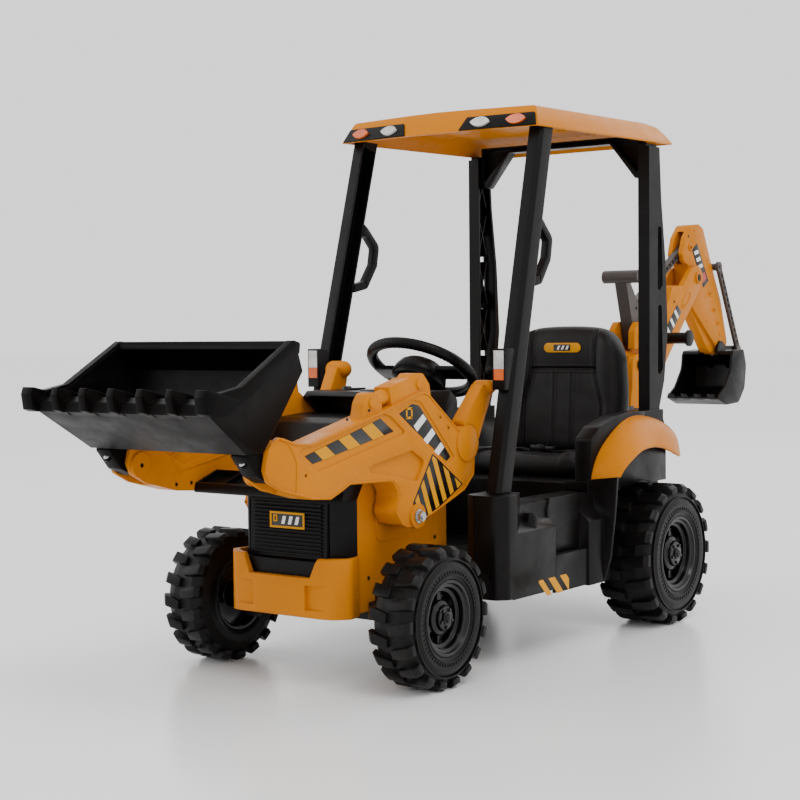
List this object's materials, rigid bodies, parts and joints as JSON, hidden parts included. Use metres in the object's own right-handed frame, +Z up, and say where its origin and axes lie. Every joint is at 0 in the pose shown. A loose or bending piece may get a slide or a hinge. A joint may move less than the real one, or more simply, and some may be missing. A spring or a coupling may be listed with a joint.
{
  "type": "toy backhoe loader",
  "caption": "Child's ride-on backhoe loader with canopy cab, front loader bucket, rear digging arm, padded seat and chunky tyres.",
  "frame": {"origin": "on the ground under the middle of the bounding box", "axes": "+X to the driver's left, +Y to the rear (backhoe end), +Z up"},
  "size_m": [0.6388, 2.209, 1.0366],
  "materials": {
    "orange": "satin",
    "black": "fine texture",
    "gloss_black": "gloss",
    "grey": "satin",
    "tyre": "matte moulded",
    "seat": "grained padding",
    "webbing": "woven",
    "steel": "zinc plated",
    "clear_lens": "clear lens",
    "amber_lens": "amber lens",
    "dark": "moulded"
  },
  "bodies": {
    "body": {"chassis": "black", "hood": "orange", "hood_top": "black", "grille": "black", "bumper": "orange", "side_panel_left": "black", "side_panel_right": "black", "dashboard": "black", "seat_back": "seat", "seat_cushion": "seat", "seat_belt": "webbing", "armrest_left": "black", "armrest_right": "black", "fender_left": "orange", "fender_right": "orange", "front_pillar_left": "black", "front_pillar_right": "black", "rear_pillar_left": "black", "rear_pillar_right": "black", "grab_handles": "black", "lamp_housings": "black", "clear_lenses": "clear_lens", "amber_lenses": "amber_lens", "roof": "orange", "roof_crossbeam": "black", "battery": "dark", "drive_motors": "dark", "front_axle_beam": "dark", "rear_axle": "steel", "swing_bracket": "black", "fasteners": "steel"},
    "pedal": {"foot_pedal": "dark"},
    "steering": {"steering_wheel": "black", "steering_shaft": "steel"},
    "track_rod": {"tie_rod": "steel"},
    "knuckle_l": {"knuckle_left": "dark"},
    "knuckle_r": {"knuckle_right": "dark"},
    "wheel_fl": {"front_tyre_left": "tyre", "front_rim_left": "gloss_black"},
    "wheel_fr": {"front_tyre_right": "tyre", "front_rim_right": "gloss_black"},
    "wheel_rl": {"rear_tyre_left": "tyre", "rear_rim_left": "gloss_black"},
    "wheel_rr": {"rear_tyre_right": "tyre", "rear_rim_right": "gloss_black"},
    "loader": {"loader_arm_left": "orange", "loader_arm_right": "orange", "lift_levers": "orange", "cross_channel": "black"},
    "scoop": {"loader_bucket": "black", "bucket_brackets": "black"},
    "swing": {"swing_column": "orange"},
    "boom_body": {"boom": "orange", "boom_bars": "black"},
    "lever": {"control_lever": "grey"},
    "link_front": {"lever_link": "grey"},
    "dipper": {"stick": "orange"},
    "digger": {"dig_bucket": "black"},
    "rocker": {"bucket_rocker": "grey"},
    "link_rear": {"bucket_link": "grey"}
  },
  "joints": [
    {"name": "steer", "type": "hinge", "parent": "body", "child": "steering", "pos_m": [0, -0.2826, 0.534], "axis": [0, 0.5, 0.866], "range_deg": [-45, 45]},
    {"name": "track_rod_slide", "type": "slide", "parent": "body", "child": "track_rod", "axis": [1, 0, 0], "range_m": [-0.025, 0.025]},
    {"name": "knuckle_left_turn", "type": "hinge", "parent": "body", "child": "knuckle_l", "pos_m": [0.16, -0.5971, 0.122], "axis": [0, 0, 1], "range_deg": [-23, 23]},
    {"name": "knuckle_right_turn", "type": "hinge", "parent": "body", "child": "knuckle_r", "pos_m": [-0.16, -0.5971, 0.122], "axis": [0, 0, 1], "range_deg": [-23, 23]},
    {"name": "front_left_spin", "type": "hinge", "parent": "knuckle_l", "child": "wheel_fl", "pos_m": [0.233, -0.5971, 0.122], "axis": [1, 0, 0], "continuous": true},
    {"name": "front_right_spin", "type": "hinge", "parent": "knuckle_r", "child": "wheel_fr", "pos_m": [-0.233, -0.5971, 0.122], "axis": [1, 0, 0], "continuous": true},
    {"name": "rear_left_spin", "type": "hinge", "parent": "body", "child": "wheel_rl", "pos_m": [0.259, 0.1749, 0.1435], "axis": [1, 0, 0], "continuous": true},
    {"name": "rear_right_spin", "type": "hinge", "parent": "body", "child": "wheel_rr", "pos_m": [-0.259, 0.1749, 0.1435], "axis": [1, 0, 0], "continuous": true},
    {"name": "pedal_press", "type": "hinge", "parent": "body", "child": "pedal", "pos_m": [-0.089, -0.3146, 0.19], "axis": [1, 0, 0], "range_deg": [0, 12], "stiffness_Nm_per_rad": 1, "springref_deg": -5.73},
    {"name": "loader_lift", "type": "hinge", "parent": "body", "child": "loader", "pos_m": [0, -0.5446, 0.284], "axis": [-1, 0, 0], "range_deg": [-28, 35]},
    {"name": "bucket_tilt", "type": "hinge", "parent": "loader", "child": "scoop", "pos_m": [0, -0.9146, 0.398], "axis": [1, 0, 0], "range_deg": [-8, 60]},
    {"name": "backhoe_swing", "type": "hinge", "parent": "body", "child": "swing", "pos_m": [0, 0.5354, 0.35], "axis": [0, 0, 1], "range_deg": [-55, 55]},
    {"name": "boom_lift", "type": "hinge", "parent": "swing", "child": "boom_body", "pos_m": [0, 0.5354, 0.52], "axis": [1, 0, 0], "range_deg": [-25, 15]},
    {"name": "stick_swing", "type": "hinge", "parent": "boom_body", "child": "dipper", "pos_m": [0, 0.8484, 0.728], "axis": [1, 0, 0], "range_deg": [-15, 40]},
    {"name": "lever_turn", "type": "hinge", "parent": "boom_body", "child": "lever", "pos_m": [0, 0.5754, 0.577], "axis": [1, 0, 0], "range_deg": [-15, 40]},
    {"name": "lever_link_turn", "type": "hinge", "parent": "lever", "child": "link_front", "pos_m": [0, 0.5624, 0.652], "axis": [1, 0, 0], "range_deg": [-40, 15]},
    {"name": "bucket_curl", "type": "hinge", "parent": "dipper", "child": "digger", "pos_m": [0, 0.9984, 0.552], "axis": [1, 0, 0], "range_deg": [-5, 40]},
    {"name": "rocker_turn", "type": "hinge", "parent": "dipper", "child": "rocker", "pos_m": [0, 0.8844, 0.765], "axis": [1, 0, 0], "range_deg": [-5, 40]},
    {"name": "bucket_link_turn", "type": "hinge", "parent": "digger", "child": "link_rear", "pos_m": [0, 1.0894, 0.545], "axis": [1, 0, 0], "range_deg": [-40, 5]}
  ],
  "couplings": [
    {"joint": "track_rod_slide", "follows": "steer", "m_per_rad": -0.0303},
    {"joint": "knuckle_left_turn", "follows": "steer", "ratio": 0.4889},
    {"joint": "knuckle_right_turn", "follows": "steer", "ratio": 0.4889},
    {"joint": "lever_turn", "follows": "stick_swing", "ratio": 1},
    {"joint": "lever_link_turn", "follows": "stick_swing", "ratio": -1},
    {"joint": "rocker_turn", "follows": "bucket_curl", "ratio": 1},
    {"joint": "bucket_link_turn", "follows": "bucket_curl", "ratio": -1}
  ]
}
